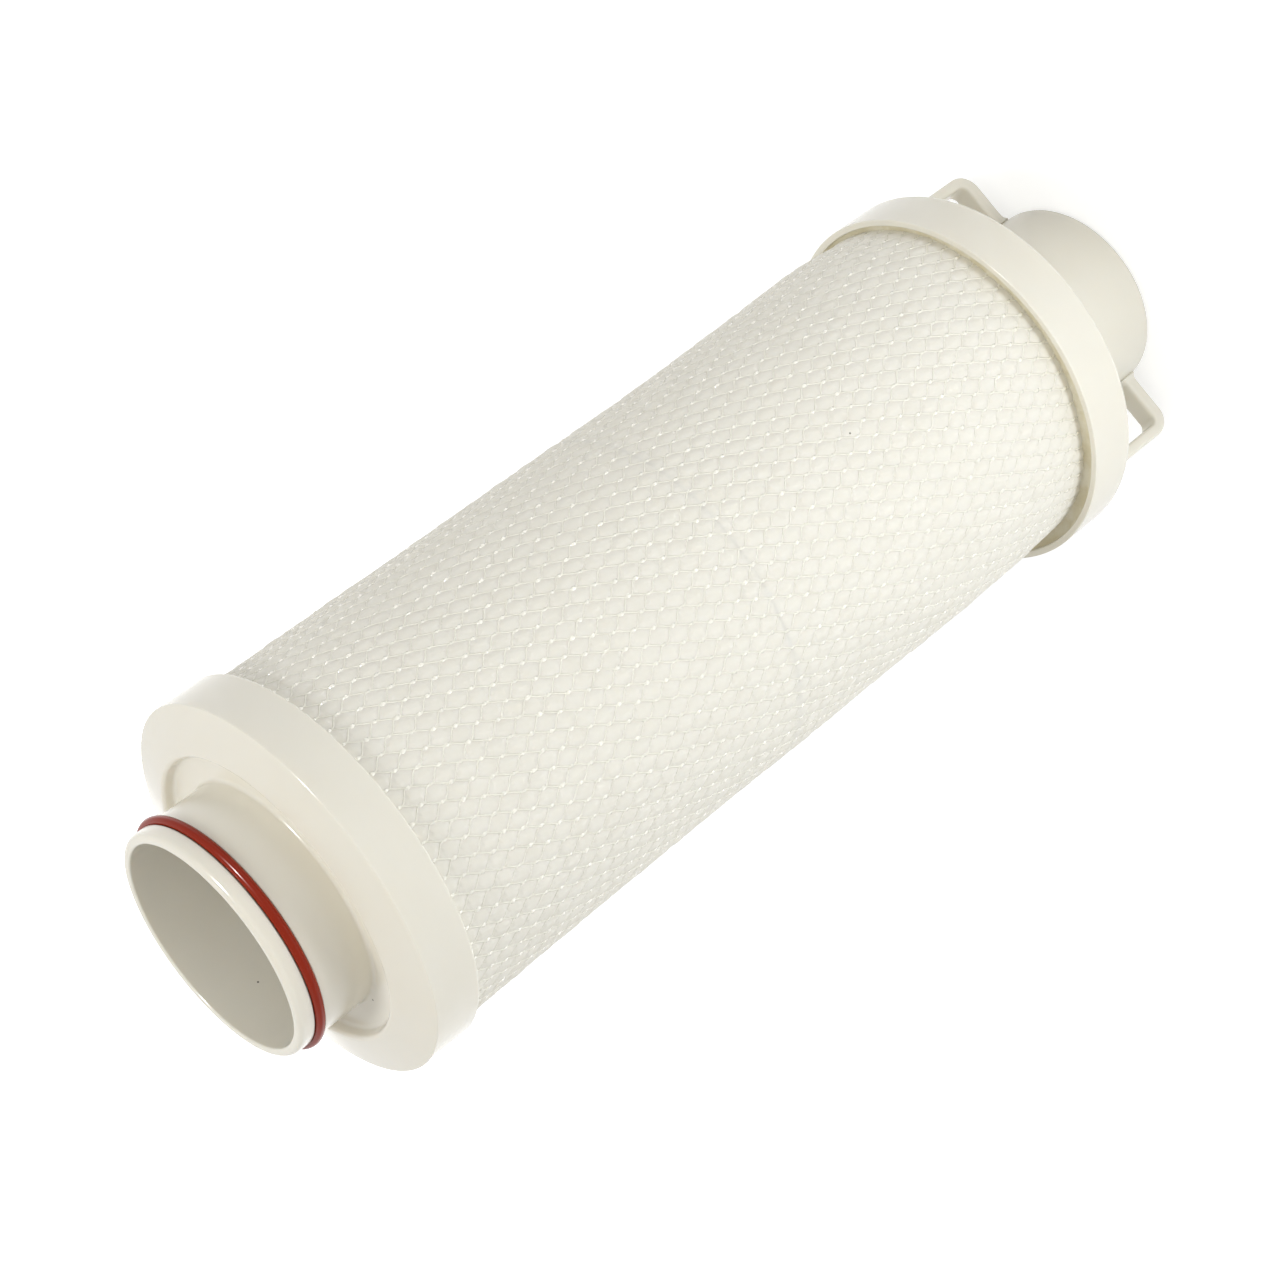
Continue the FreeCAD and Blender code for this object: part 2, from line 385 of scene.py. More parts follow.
def makeCorePlastic(settings):
    finish = Finish("corePlastic", settings["fixed"])
    cloud = finish.noise(*settings["cloud"]).step(*settings["cloudRange"])
    finish.set("Base Color", cloud.blend(settings["base"], settings["dull"]))
    finish.roughen(settings["roughness"], finish.noise(*settings["smear"]), settings["smearChange"])
    finish.set("Normal", finish.bump(finish.noise(*settings["grain"]), *settings["grainBump"]))
    return finish.material


# Carbon: bonded black granules
carbonGrains = {
    "base": (0.012, 0.012, 0.013, 1),
    "glint": (0.060, 0.060, 0.063, 1),
    "grain": 1100.0,        # granules per metre
    "glintRange": (0.2, 0.7),
    "roughness": (0.5, 0.4),        # in a granule's middle, and how much it rises outwards
    "grainBump": (0.0006, 0.8),
    "fixed": {"IOR": 1.6},
}


def makeCarbonGrains(settings):
    finish = Finish("carbonGrains", settings["fixed"])
    inputs = {"Vector": finish.place, "Scale": settings["grain"]}
    grains = finish.start.node("ShaderNodeTexVoronoi", {}, inputs, "Distance")
    dark = grains.step(*settings["glintRange"])
    finish.set("Base Color", dark.blend(settings["glint"], settings["base"]))
    least, rise = settings["roughness"]
    finish.set("Roughness", least + grains * rise)
    finish.set("Normal", finish.bump(grains, *settings["grainBump"]))
    return finish.material


capFinish = {
    "outlet": makeCapPlastic("outletPlastic", capPlastic, dirt["outletCap"]),
    "closed": makeCapPlastic("closedPlastic", capPlastic, []),
}
fleeceFinish = makeFleeceCloth(fleeceCloth)
strandFinish = makeNetPlastic(netPlastic, netPlastic["strand"])
knotFinishPaintedHighlight = makeNetPlastic(netPlastic, netPlastic["knot"])
resinFinish = makeBedResin(bedResin)
coreFinish = makeCorePlastic(corePlastic)
rubberFinish = makeRingRubber(ringRubber)
carbonFinish = makeCarbonGrains(carbonGrains)
print("stage: finishes ready")


# Evenly spaced angles of one whole turn
def wholeTurn(count):
    return np.linspace(0, 2 * math.pi, count, endpoint=False)


# Points at a radius, turn and height: x = r cos(turn), y = r sin(turn), z = height
def roundPoints(radius, turn, height):
    radius, turn, height = np.broadcast_arrays(radius, turn, height)
    return np.stack([radius * np.cos(turn), radius * np.sin(turn), height], -1)


# Vectors brought to length 1
def unit(vectors):
    return vectors / (np.linalg.norm(vectors, axis=-1, keepdims=True) + tiny)


# Points along a closed or open outline of (radius, height) corners. A corner may carry a rounding:
# there the outline follows an arc that touches both sides. A guard point beside each arc keeps flat
# stretches flat when they are shaded smooth.
def roundedOutline(corners, closed, arcSteps=7, guard=0.25):
    count = len(corners)
    points = []
    for index, corner in enumerate(corners):
        here = np.array(corner[:2], float)
        rounding = corner[2] if len(corner) > 2 else 0
        atEnd = not closed and index in (0, count - 1)
        if not rounding or atEnd:
            points.append(here)
            continue
        back = np.array(corners[index - 1][:2], float) - here
        ahead = np.array(corners[(index + 1) % count][:2], float) - here
        backLength, aheadLength = np.linalg.norm(back), np.linalg.norm(ahead)
        back, ahead = back / backLength, ahead / aheadLength
        half = math.acos(np.clip(back @ ahead, -1, 1)) / 2
        tangent = rounding / math.tan(half)
        centre = here + unit(back + ahead) * rounding / math.sin(half)
        first, last = here + back * tangent - centre, here + ahead * tangent - centre
        sweep = math.atan2(first[0] * last[1] - first[1] * last[0], first @ last)
        angles = np.linspace(0, sweep, arcSteps)[:, None]
        crossed = np.array([-first[1], first[0]])
        arc = centre + first * np.cos(angles) + crossed * np.sin(angles)
        before = here + back * min(tangent + guard, (tangent + backLength) / 2)
        after = here + ahead * min(tangent + guard, (tangent + aheadLength) / 2)
        points += [before, *arc, after]
    return np.array(points)


# Quads between the rows and columns of a grid of vertices, numbered row by row
def gridQuads(rows, columns, closeRows, closeColumns):
    row = np.arange(rows if closeRows else rows - 1)[:, None]
    column = np.arange(columns if closeColumns else columns - 1)[None, :]
    nextRow, nextColumn = (row + 1) % rows, (column + 1) % columns
    corners = [row * columns + column, row * columns + nextColumn,
               nextRow * columns + nextColumn, nextRow * columns + column]
    return np.stack([np.broadcast_to(c, (row.size, column.size)) for c in corners], -1).reshape(-1, 4)


# Triangles that close a stack of rings at both ends, each end round one pole. The two poles'
# vertices are numbered after the rings.
def poleFans(rings, sides):
    around = np.arange(sides)
    onward = (around + 1) % sides
    last = (rings - 1) * sides
    lowPole, highPole = np.full(sides, rings * sides), np.full(sides, rings * sides + 1)
    lowFan = np.stack([onward, around, lowPole], -1)
    highFan = np.stack([last + around, last + onward, highPole], -1)
    return np.concatenate([lowFan, highFan])


# Mesh object from vertices in millimetres, quads and triangles, smooth except across edges that
# turn by more than an angle
def meshPiece(name, vertices, quads, material, triangles=None, sharp=35):
    mesh = bpy.data.meshes.new(name)
    faces = [quads] if triangles is None else [quads, triangles]
    loops = np.concatenate([f.ravel() for f in faces]).astype(np.int32)
    sizes = np.concatenate([np.full(len(f), f.shape[1]) for f in faces])
    starts = np.concatenate([[0], np.cumsum(sizes)[:-1]]).astype(np.int32)
    mesh.vertices.add(len(vertices))
    mesh.vertices.foreach_set("co", np.ascontiguousarray(vertices * mm, np.float32).ravel())
    mesh.loops.add(len(loops))
    mesh.loops.foreach_set("vertex_index", loops)
    mesh.polygons.add(len(sizes))
    mesh.polygons.foreach_set("loop_start", starts)
    mesh.update(calc_edges=True)
    mesh.validate()
    mesh.polygons.foreach_set("use_smooth", np.ones(len(sizes), bool))
    if sharp is not None:
        mesh.set_sharp_from_angle(angle=math.radians(sharp))
    mesh.materials.append(material)
    made = bpy.data.objects.new(name, mesh)
    bpy.context.scene.collection.objects.link(made)
    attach(made, "root")
    return made


# Several tubes in one piece. Their points are numbered tube by tube and ring by ring, and each open
# end is closed by a fan of triangles round the middle of its ring.
def tubePiece(name, points, material, sharp):
    tubes, steps, sides = points.shape[:3]
    first = np.arange(tubes)[:, None] * steps * sides
    last = first + (steps - 1) * sides
    around = np.arange(sides)
    onward = (around + 1) % sides
    middles = np.concatenate([points[:, 0].mean(1), points[:, -1].mean(1)])
    middle = tubes * steps * sides + np.arange(2 * tubes)[:, None] + 0 * around
    startFans = np.stack([first + onward, first + around, middle[:tubes]], -1)
    endFans = np.stack([last + around, last + onward, middle[tubes:]], -1)
    triangles = np.concatenate([startFans, endFans]).reshape(-1, 3)
    quads = (first[:, None] + gridQuads(steps, sides, False, True)).reshape(-1, 4)
    vertices = np.concatenate([points.reshape(-1, 3), middles])
    return meshPiece(name, vertices, quads, material, triangles, sharp)


# An outline turned about Z. One that starts and ends on the axis gets one vertex at each pole.
def turnedPiece(name, outline, segments, material):
    points = roundPoints(outline[:, :1], wholeTurn(segments), outline[:, 1:])
    rows = len(outline)
    if outline[0, 0] > 0:
        quads = gridQuads(rows, segments, True, True)
        return meshPiece(name, points.reshape(-1, 3), quads, material)
    rings = points[1:-1].reshape(-1, 3)
    poles = np.array([[0, 0, outline[0, 1]], [0, 0, outline[-1, 1]]])
    quads = gridQuads(rows - 2, segments, False, True)
    return meshPiece(name, np.concatenate([rings, poles]), quads, material, poleFans(rows - 2, segments))


# Outlet end cap: band, sloped shoulder, crest ring, trough and spigot
outletCap = {
    "band": reach("outlet_end_cap"),
    "wall": 3.0,
    "edge": lipEnd - 36.3,      # height of the shoulder's outer edge
    "plate": 4.0,               # thickness below that edge
    "bore": 45.5,
    "spigot": 49.75,
    "groove": (47.85, 6.8, 11.6),       # its radius, and how far below the lip its sides lie
    "trough": (61.35, 1.0),     # its outer radius, and its height above the edge
    "crest": (62.95, 5.9),      # radius, and height above the edge
    "collar": (47.5, 49.5, 3.0),        # ring behind the plate round the core: radii and height
    "roundings": {
        "boreLip": 0.9, "lip": 2.5, "grooveRim": 0.2, "grooveFloor": 0.3, "root": 1.5,
        "troughSide": 1.8, "crest": 1.6, "edge": 0.6, "mouth": 0.8, "inside": 0.3,
    },
    "segments": 256,
}


def makeOutletCap(settings, material):
    lip, edge, band, bore = lipEnd, settings["edge"], settings["band"], settings["bore"]
    spigot, back, inside = settings["spigot"], edge - settings["plate"], band - settings["wall"]
    groove, grooveTop, grooveFoot = settings["groove"]
    trough, troughRise = settings["trough"]
    crest, crestRise = settings["crest"]
    collarIn, collarOut, collarRise = settings["collar"]
    rounds = settings["roundings"]
    corners = [
        (bore, lip, rounds["boreLip"]), (spigot, lip, rounds["lip"]),
        (spigot, lip - grooveTop, rounds["grooveRim"]), (groove, lip - grooveTop, rounds["grooveFloor"]),
        (groove, lip - grooveFoot, rounds["grooveFloor"]), (spigot, lip - grooveFoot, rounds["grooveRim"]),
        (spigot, edge + troughRise, rounds["root"]), (trough, edge + troughRise, rounds["troughSide"]),
        (crest, edge + crestRise, rounds["crest"]), (band, edge, rounds["edge"]),
        (band, outletMouth, rounds["mouth"]), (inside, outletMouth, rounds["inside"]),
        (inside, back), (collarOut, back),
        (collarOut, back - collarRise), (collarIn, back - collarRise),
        (collarIn, back), (bore, back, rounds["inside"]),
    ]
    outline = roundedOutline(corners[::-1], closed=True)
    made = turnedPiece("outletCap", outline, settings["segments"], material)
    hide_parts("outlet_end_cap")


# O-ring: a round section carried round the groove
oRing = {"section": 2.0, "radius": 49.9, "belowLip": 9.2, "segments": 256, "sides": 24}


def makeORing(settings, material):
    turn = wholeTurn(settings["sides"])
    height = lipEnd - settings["belowLip"]
    section = np.stack([settings["radius"] + settings["section"] * np.cos(turn),
                        height + settings["section"] * np.sin(turn)], -1)
    made = turnedPiece("oRing", section, settings["segments"], material)
    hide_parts("outlet_o_ring")


# Closed end cap: hollow boss, end plate and skirt
closedCap = {
    "skirt": reach("closed_end_cap"),
    "wall": 3.0,
    "plate": (66.3, 4.5),       # height of its outer face, and thickness
    "boss": (44.5, 4.0, 4.5),   # radius, wall, and thickness of its end
    "collar": (47.5, 49.5, 3.0),        # ring behind the plate round the core: radii and height
    "roundings": {
        "bossEnd": 4.0, "bossRoot": 2.0, "edge": 3.0, "mouth": 0.4, "inside": 0.6,
        "hollowRim": 0.5, "hollowEnd": 2.0,
    },
    "segments": 256,
}


def makeClosedCap(settings, material):
    skirt, inside = settings["skirt"], settings["skirt"] - settings["wall"]
    plate, thickness = settings["plate"]
    back = plate + thickness
    boss, bossWall, bossEnd = settings["boss"]
    collarIn, collarOut, collarRise = settings["collar"]
    rounds = settings["roundings"]
    corners = [
        (0, 0), (boss, 0, rounds["bossEnd"]),
        (boss, plate, rounds["bossRoot"]), (skirt, plate, rounds["edge"]),
        (skirt, closedMouth, rounds["mouth"]), (inside, closedMouth, rounds["inside"]),
        (inside, back), (collarOut, back),
        (collarOut, back + collarRise), (collarIn, back + collarRise),
        (collarIn, back), (boss - bossWall, back, rounds["hollowRim"]),
        (boss - bossWall, bossEnd, rounds["hollowEnd"]), (0, bossEnd),
    ]
    outline = roundedOutline(corners, closed=False)
    made = turnedPiece("closedCap", outline, settings["segments"], material)
    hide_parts("closed_end_cap")


# Finger loops of the closed end cap, one on each side: a leg down from the plate, a bend, and a bar
# that runs into the boss
fingerLoop = {
    "reach": 73.4,      # from the axis to the leg's outer face
    "inset": 5.6,       # height of the bar's lower face
    "leg": 5.3,
    "bar": 6.8,
    "width": 12.0,
    "corner": 6.4,
    "sunk": (1.0, 1.2),         # how far the leg runs into the plate and the bar into the boss
    "flare": 1.6,       # how far a root widens where it runs into the cap
    "flareReach": 0.9,
    "squareness": 5.0,
    "steps": (26, 12, 16),      # rings along the leg, the bend and the bar
    "sides": 28,
    "sharp": 60,        # degrees
}


# Cosine or sine of an angle raised to a power with its sign kept
def squared(wave, power):
    return np.sign(wave) * np.abs(wave) ** power


# A rounded-rectangle section carried along a path of two straight runs and a bend. Section:
# across = a |cos|^(2/n) and along = b |sin|^(2/n), with the signs kept, so that n = 2 is an ellipse
# and a large n a box. Near both ends the section widens like a fillet.
def makeFingerLoop(name, settings, side, material):
    corner, plate, boss = settings["corner"], closedCap["plate"][0], closedCap["boss"][0]
    legSteps, bendSteps, barSteps = settings["steps"]
    intoPlate, intoBoss = settings["sunk"]
    legX = settings["reach"] - settings["leg"] / 2
    barZ = settings["inset"] + settings["bar"] / 2
    centreX, centreZ = legX - corner, barZ + corner
    bend = np.linspace(0, math.pi / 2, bendSteps + 2)[1:-1]
    legRun = np.linspace(plate + intoPlate, centreZ, legSteps)
    barRun = np.linspace(centreX, boss - intoBoss, barSteps)
    pathX = np.concatenate([np.full(legSteps, legX), centreX + corner * np.cos(bend), barRun])
    pathZ = np.concatenate([legRun, centreZ - corner * np.sin(bend), np.full(barSteps, barZ)])
    heading = np.concatenate([np.zeros(legSteps), bend, np.full(barSteps, math.pi / 2)])
    onBar = heading / (math.pi / 2)     # 0 on the leg, 1 on the bar
    thickness = settings["leg"] * (1 - onBar) + settings["bar"] * onBar
    toRoot = np.where(onBar < 0.5, np.abs(plate - pathZ), np.abs(pathX - boss))
    flare = settings["flare"] * np.exp(-toRoot / settings["flareReach"])
    turn = wholeTurn(settings["sides"])
    power = 2 / settings["squareness"]
    across = squared(np.cos(turn), power) * (thickness / 2 + flare)[:, None]
    along = squared(np.sin(turn), power) * (settings["width"] / 2 + flare)[:, None]
    alongX = pathX[:, None] + np.cos(heading)[:, None] * across
    alongZ = pathZ[:, None] - np.sin(heading)[:, None] * across
    points = np.stack([side * alongX, side * along, alongZ], -1)
    made = tubePiece(name, points[None, :, ::-1], material, settings["sharp"])
    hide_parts("closed_end_cap")


# The media's outer line: the radius that the net's strands follow at each height and turn. It is
# the smoothed line of radii, plus lean * exp(-(beyond / spread)^2) towards the lean's side, plus
# size * sin(waves * turn + above / climb + start) for each ripple.
media = {
    "heights": [-20, 2, 26, 121, 282.5, 357.5, 380],      # above the closed cap's mouth
    "radii": [77.4, 77.4, 79.2, 77.8, 77.8, 78.4, 78.4],
    "blend": 7.0,       # length over which the line's corners are smoothed, each way
    "blendSteps": 9,
    "lean": (1.5, 1.9),     # how far the media stands off centre at the closed cap, along X and Y
    "leanHeight": 24.0,
    "leanSpread": 34.0,
    "ripples": [(0.16, 3, 31, 0), (0.12, 7, -17, 1.3)],     # size, waves round, height per radian, start
    "around": 78.0,     # radius at which distances round the sleeve are measured
}


def mediaRadius(turn, height):
    above = height - closedMouth
    shifts = np.linspace(-media["blend"], media["blend"], media["blendSteps"])
    line = sum(np.interp(above + s, media["heights"], media["radii"]) for s in shifts) / len(shifts)
    beyond = np.maximum(above - media["leanHeight"], 0)
    spread = np.exp(-(beyond / media["leanSpread"]) ** 2)
    offCentre = media["lean"][0] * np.cos(turn) + media["lean"][1] * np.sin(turn)
    ripple = sum(size * np.sin(waves * turn + above / climb + start)
                 for size, waves, climb, start in media["ripples"])
    return line + spread * offCentre + ripple


# The net's lattice. Two families of strands climb the sleeve in opposite senses. A strand's place
# round the sleeve is pitch * (number +- row / 2), where row climbs in smooth steps: level where two
# strands run together in a joint, and sloping between joints.
net = {
    "cells": 65,
    "row": 7.4,         # between rows of joints
    "joint": 3.0,       # length of a joint along the axis
    "cross": 0.05,      # share of a row's climb that the strands make inside a joint
    "ease": 0.55,       # how softly a strand turns into a joint
    "tilt": 0.3,        # how far a joint leans sideways at its ends
    "strand": (0.27, 0.38),     # half the height and half the width of a strand
    "lift": 0.10,       # how much prouder a joint stands
    "liftReach": 0.36,  # share of a row over which the lift fades
    "sides": 5,
    "cover": 5.0,       # how far the net runs on inside each cap
    "steps": [-0.2, 0.2, 0.32, 0.5, 0.68],      # places in a row where a strand has a ring
}
netPitch = 2 * math.pi / net["cells"]


# Row count that climbs in smooth steps, and the offset from the nearest joint, from -0.5 to 0.5.
# Between joints the climb c, from 0 to 1, is eased to c - ease * sin(2 pi c) / (2 pi).
def stairs(rows):
    flat = net["joint"] / net["row"] / 2
    whole = np.floor(rows + 0.5)
    offset = rows - whole
    inside = np.clip(np.abs(offset) / flat, 0, 1)
    climb = np.clip((np.abs(offset) - flat) / (0.5 - flat), 0, 1)
    eased = climb - net["ease"] * np.sin(2 * math.pi * climb) / (2 * math.pi)
    climbed = net["cross"] * inside + (0.5 - net["cross"]) * eased
    return whole + climbed * np.sign(offset), offset


# Where a strand is at a height: pitches round the sleeve, offset from its joint, and sideways lean
def strandPlace(height, sense):
    climbed, offset = stairs((height - closedMouth) / net["row"])
    return sense * climbed / 2, offset, net["tilt"] * np.sin(2 * math.pi * offset)


# One family of strands. Each is a tube whose section is an ellipse: point = path
# + outward * tall * cos(spin) + sideways * wide * sin(spin).
def makeStrands(name, sense, material):
    low, high = closedMouth - net["cover"], outletMouth + net["cover"]
    firstRow = math.floor((low - closedMouth) / net["row"])
    lastRow = math.ceil((high - closedMouth) / net["row"])
    rows = (np.arange(firstRow, lastRow)[:, None] + np.array(net["steps"])).ravel()
    height = np.clip(closedMouth + rows * net["row"], low, high)[None, :]
    number = np.arange(net["cells"])[:, None]
    climbed, offset, lean = strandPlace(height, sense)
    turn = (number + climbed) * netPitch + lean / mediaRadius(0, height)
    lifted = np.clip(1 - np.abs(offset) / net["liftReach"], 0, 1)
    path = roundPoints(mediaRadius(turn, height) + net["lift"] * lifted, turn, height)
    ahead = unit(np.gradient(path, axis=1))
    sideways = unit(np.cross(ahead, roundPoints(1.0, turn, 0.0)))[:, :, None]
    outward = np.cross(sideways, ahead[:, :, None])
    spin = wholeTurn(net["sides"])[:, None]
    tall, wide = net["strand"]
    points = path[:, :, None] + outward * np.cos(spin) * tall + sideways * np.sin(spin) * wide
    made = tubePiece(name, points, material, sharp=None)
    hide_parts("netting_sleeve")


# Knots: where two strands are pressed together, a smooth grain as an ellipsoid. Place on it =
# depth * cos(rise) * cos(spin) outwards, width * cos(rise) * sin(spin) sideways and
# length * sin(rise) along the surface.
knot = {
    "depth": 1.05,      # half sizes
    "width": 1.05,
    "length": 1.5,
    "sunk": 0.58,       # how far its middle lies below the strands' middle
    "vary": 0.12,       # share by which sizes differ
    "seed": 11,
    "sides": 8,
    "rings": [-48, 0, 48],      # degrees of rise
}


def makeKnots(settings, material):
    rowCount = int((outletMouth - closedMouth) / net["row"]) + 1
    row = np.arange(rowCount)[:, None]
    turn = (np.arange(net["cells"]) + row / 2) * netPitch
    height = closedMouth + row * net["row"] + 0 * turn
    slope = (mediaRadius(turn, height + 1) - mediaRadius(turn, height - 1)) / 2
    outward = unit(roundPoints(1.0, turn, -slope))
    along = unit(roundPoints(slope, turn, 1.0))
    sideways = np.cross(along, outward)
    centre = roundPoints(mediaRadius(turn, height), turn, height)
    centre += outward * (net["lift"] - settings["sunk"])
    axes = np.stack([outward, sideways, along], -2).reshape(-1, 3, 3)
    rise = np.radians(settings["rings"])[:, None]
    ball = roundPoints(np.cos(rise), wholeTurn(settings["sides"]), np.sin(rise))
    ball = np.concatenate([ball.reshape(-1, 3), [[0, 0, -1], [0, 0, 1]]])
    halves = np.array([settings["depth"], settings["width"], settings["length"]])
    scatter = np.random.default_rng(settings["seed"]).uniform(-1, 1, (len(axes), 1, 1))
    sizes = 1 + settings["vary"] * scatter
    points = centre.reshape(-1, 1, 3) + (sizes * ball * halves) @ axes
    normals = unit((ball / halves) @ axes)
    rings, sides = len(settings["rings"]), settings["sides"]
    first = np.arange(len(points))[:, None, None] * len(ball)
    quads = (first + gridQuads(rings, sides, False, True)).reshape(-1, 4)
    triangles = (first + poleFans(rings, sides)).reshape(-1, 3)
    made = meshPiece("netKnots", points.reshape(-1, 3), quads, material, triangles, sharp=None)
    made.data.normals_split_custom_set_from_vertices(normals.reshape(-1, 3))
    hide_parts("netting_sleeve")


# The fleece bulges through each cell: height = swell * f(a) * f(b), where a and b are the distances
# to the nearest strand of each family, and f(d) = 1 - exp(-(d / soft)^2) rises from 0 at a strand
# towards 1 in the cell's middle.
fleece = {
    "swell": 0.48,
    "over": 0.02,       # how far the fleece lies above the strands' middle
    "soft": 1.6,        # distance over which a pillow rises
    "uneven": 0.3,      # share by which pillows differ
    "scatter": (12.9898, 78.233, 43758.5453),       # mixes a cell's two numbers into a share
    "probe": 0.05,      # distance over which the surface's slope is measured
    "perCell": 6,       # columns of the grid in a cell
    "step": 1.0,        # between rows of the grid
    "inner": 71.9,
    "sharp": 40,        # degrees
}


# Distance to the nearest strand of one family, and the number of the gap between strands
def strandDistance(turn, height, sense):
    climbed, _, lean = strandPlace(height, sense)
    across = (turn - lean / media["around"]) / netPitch - climbed
    nearest = np.abs(across - np.round(across)) * netPitch * media["around"]
    return nearest, np.floor(across).astype(int)


def fleeceRadius(turn, height):
    toFirst, firstGap = strandDistance(turn, height, 1)
    toSecond, secondGap = strandDistance(turn, height, -1)
    soft, count = fleece["soft"], net["cells"]
    pillow = (1 - np.exp(-(toFirst / soft) ** 2)) * (1 - np.exp(-(toSecond / soft) ** 2))
    firstMix, secondMix, spread = fleece["scatter"]
    mixed = np.sin((firstGap % count) * firstMix + (secondGap % count) * secondMix) * spread
    share = mixed - np.floor(mixed)
    swell = fleece["swell"] * (1 + fleece["uneven"] * (share - 0.5) * 2)
    return mediaRadius(turn, height) + fleece["over"] + swell * pillow


# Normals of the bulging surface, from its slopes round the sleeve and along it
def fleeceNormals(turn, height):
    probe, probeTurn = fleece["probe"], fleece["probe"] / media["around"]
    roundSlope = fleeceRadius(turn + probeTurn, height) - fleeceRadius(turn - probeTurn, height)
    alongSlope = fleeceRadius(turn, height + probe) - fleeceRadius(turn, height - probe)
    roundSlope, alongSlope = roundSlope / (2 * probe), alongSlope / (2 * probe)
    return unit(np.stack([np.cos(turn) + roundSlope * np.sin(turn),
                          np.sin(turn) - roundSlope * np.cos(turn), -alongSlope], -1))


# A sleeve of fleece between two heights: the bulging outside, then a plain inner wall
def makeFleece(name, low, high, material):
    columns = net["cells"] * fleece["perCell"]
    rows = int(round((high - low) / fleece["step"])) + 1
    turn = wholeTurn(columns)[None, :]
    height = np.linspace(low, high, rows)[:, None]
    outer = roundPoints(fleeceRadius(turn, height), turn, height)
    innerTop = roundPoints(fleece["inner"], turn, high)
    innerBottom = roundPoints(fleece["inner"], turn, low)
    points = np.concatenate([outer, innerTop, innerBottom])
    quads = gridQuads(rows + 2, columns, True, True)
    made = meshPiece(name, points.reshape(-1, 3), quads, material, sharp=fleece["sharp"])
    normals = np.zeros(points.shape, np.float32)        # zero leaves a normal as the mesh has it
    normals[:rows] = fleeceNormals(turn, height)
    made.data.normals_split_custom_set_from_vertices(normals.reshape(-1, 3))
    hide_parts("prefilter_fleece")


# Adhesive bed inside the closed cap's mouth: a ring whose top sags by dip * 4 a (1 - a), where a runs
# from 0 to 1 between its walls, and wanders up and down by size * sin(waves * turn + start)
closedBed = {
    "inner": 74.2,
    "outer": 81.0,
    "setback": 2.2,     # below the cap's mouth
    "dip": 0.8,
    "steps": 10,
    "waves": [(0.25, 5, 1), (0.175, 11, 2), (0.125, 23, 0)],        # size, waves round, start
    "segments": 240,
}


def makeClosedBed(settings, material):
    low, high = bottom("closed_end_glue_bed"), closedMouth - settings["setback"]
    inner, outer = settings["inner"], settings["outer"]
    across = np.linspace(0, 1, settings["steps"])
    radii = np.concatenate([[inner], inner + (outer - inner) * across, [outer]])
    sag = 4 * across * (1 - across)
    tops = np.concatenate([[low], high - settings["dip"] * sag, [low]])
    turn = wholeTurn(settings["segments"])
    points = roundPoints(radii[::-1, None], turn, tops[::-1, None])
    for size, waves, start in settings["waves"]:
        points[1:-1, :, 2] += size * np.sin(waves * turn + start)
    quads = gridQuads(len(radii), settings["segments"], True, True)
    made = meshPiece("closedBed", points.reshape(-1, 3), quads, material)
    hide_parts("closed_end_glue_bed")


makeOutletCap(outletCap, capFinish["outlet"])
makeORing(oRing, rubberFinish)
print("stage: outlet end made")

makeClosedCap(closedCap, capFinish["closed"])
makeFingerLoop("fingerLoopRight", fingerLoop, 1, capFinish["closed"])
makeFingerLoop("fingerLoopLeft", fingerLoop, -1, capFinish["closed"])
makeClosedBed(closedBed, resinFinish)
print("stage: closed end made")

makeStrands("netStrandsRight", 1, strandFinish)
makeStrands("netStrandsLeft", -1, strandFinish)
makeKnots(knot, knotFinishPaintedHighlight)
mediaMiddle = (closedMouth + outletMouth) / 2
makeFleece("fleeceLower", bottom("prefilter_fleece"), mediaMiddle, fleeceFinish)
makeFleece("fleeceUpper", mediaMiddle, top("prefilter_fleece"), fleeceFinish)
print("stage: media made")

# CAD pieces that keep their shape get their finish
kept = {
    "core_lower": coreFinish,
    "core_upper": coreFinish,
    "inner_fleece_wrap": fleeceFinish,
    "carbon_block": carbonFinish,
    "outlet_glue_bed": resinFinish,
}
for node, finish in kept.items():
    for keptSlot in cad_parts[node].material_slots:
        keptSlot.material = finish
print("stage: CAD pieces finished")


# Pale floor and white surroundings, which the camera and reflections see as white
stage = {
    "size": 16.0,
    "floor": (0.89, 0.90, 0.92, 1),
    "near": 0.46,       # brightness that the camera sees on top of the lit floor, close to the object
    "far": 1.0,
    "fade": (0.5, 1.6),
    "fixed": {"Roughness": 0.9, "Specular IOR Level": 0.0, "Emission Strength": 1.0},
    "ambient": 0.63,
    "warmth": (1.0, 0.985, 0.955, 1),     # colour of the light from the surroundings
    "white": (1, 1, 1, 1),
}


# 1 for what the camera sees straight, in a reflection or through a clear surface, 0 for other light
def seenDirectly(start):
    straight = start.node("ShaderNodeLightPath", {}, {}, "Is Camera Ray")
    glossy = start.node("ShaderNodeLightPath", {}, {}, "Is Glossy Ray")
    through = start.node("ShaderNodeLightPath", {}, {}, "Is Transmission Ray")
    return straight.maths("MAXIMUM", straight, glossy.maths("MAXIMUM", glossy, through))


def makeFloor(settings):
    half = settings["size"] / 2
    corners = [(-half, -half, 0), (half, -half, 0), (half, half, 0), (-half, half, 0)]
    mesh = bpy.data.meshes.new("floor")
    mesh.from_pydata(corners, [], [(0, 1, 2, 3)])
    made = bpy.data.objects.new("floor", mesh)
    bpy.context.scene.collection.objects.link(made)
    finish = Finish("floorPaper", {"Base Color": settings["floor"], **settings["fixed"]})
    away = finish.start.node("ShaderNodeVectorMath", {"operation": "LENGTH"}, {0: finish.place}, "Value")
    glow = settings["near"] + away.step(*settings["fade"]) * (settings["far"] - settings["near"])
    finish.set("Emission Color", seenDirectly(finish.start) * glow)
    mesh.materials.append(finish.material)


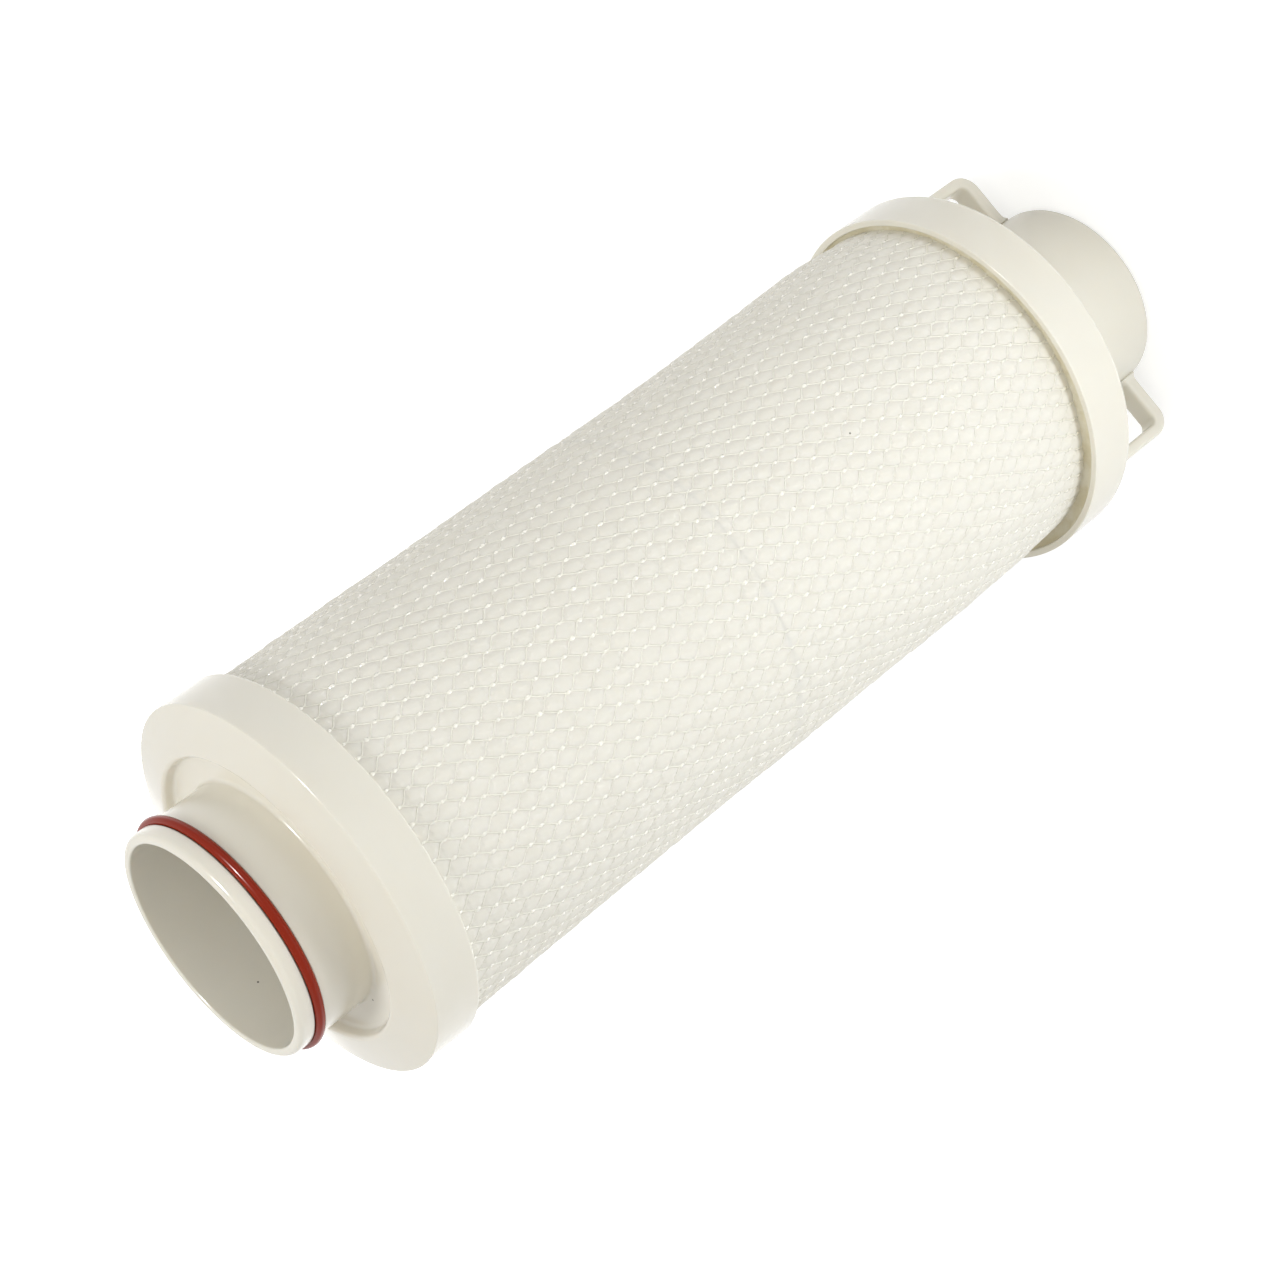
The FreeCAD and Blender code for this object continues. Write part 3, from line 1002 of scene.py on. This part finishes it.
def makeWorld(settings):
    world = bpy.data.worlds.new("studio")
    world.use_nodes = True
    bpy.context.scene.world = world
    tree = world.node_tree
    direct = seenDirectly(Wire(tree, None))
    strength = settings["ambient"] + direct * (1 - settings["ambient"])
    colour = direct.blend(settings["warmth"], settings["white"])
    background = tree.nodes["Background"]
    tree.links.new(colour.socket, background.inputs["Color"])
    tree.links.new(strength.socket, background.inputs["Strength"])


# Soft boxes: where each stands and faces, its size, power and colour, and which surfaces it lights.
# The glint lamp gives the knots and moulded edges their small highlights and no other light.
lamps = {
    "key": {
        "from": (-0.50, -0.55, 0.07), "to": (0, 0, 0.10), "size": (0.6, 0.12),
        "power": 1.14, "colour": (0.91, 0.955, 1.0), "lights": "matt",
    },
    "low": {
        "from": (-0.25, -0.65, 0.06), "to": (0, 0, 0.06), "size": (0.5, 0.1),
        "power": 1.0, "colour": (0.95, 0.975, 1.0), "lights": "matt",
    },
    "high": {
        "from": (0.22, -0.40, 1.5), "to": (0, 0, 0.45), "size": (0.3, 0.3),
        "power": 5.0, "colour": (0.97, 0.985, 1.0), "lights": "matt",
    },
    "back": {
        "from": (0.35, 0.85, 0.25), "to": (0, 0, 0.25), "size": (0.6, 0.4),
        "power": 1.6, "colour": (0.97, 0.985, 1.0), "lights": "matt",
    },
    "glint": {
        "from": (0.80, -0.97, 1.78), "to": (0, 0, 0.35), "size": (0.2, 0.2),
        "power": 60.0, "colour": (1, 1, 1), "lights": "gloss",
    },
}


def makeLamp(name, settings):
    data = bpy.data.lights.new(name, "AREA")
    data.shape = "RECTANGLE"
    data.size, data.size_y = settings["size"]
    data.energy = settings["power"]
    data.color = settings["colour"]
    made = bpy.data.objects.new(name, data)
    place = Vector(settings["from"])
    made.location = place
    made.rotation_euler = (Vector(settings["to"]) - place).to_track_quat("-Z", "Y").to_euler()
    made.visible_camera = False
    made.visible_diffuse = settings["lights"] == "matt"
    made.visible_glossy = settings["lights"] == "gloss"
    bpy.context.scene.collection.objects.link(made)


makeFloor(stage)
makeWorld(stage)
for lampName, lampSettings in lamps.items():
    makeLamp(lampName, lampSettings)
bpy.context.scene.view_settings.view_transform = "Standard"
print("stage: floor and lamps set")
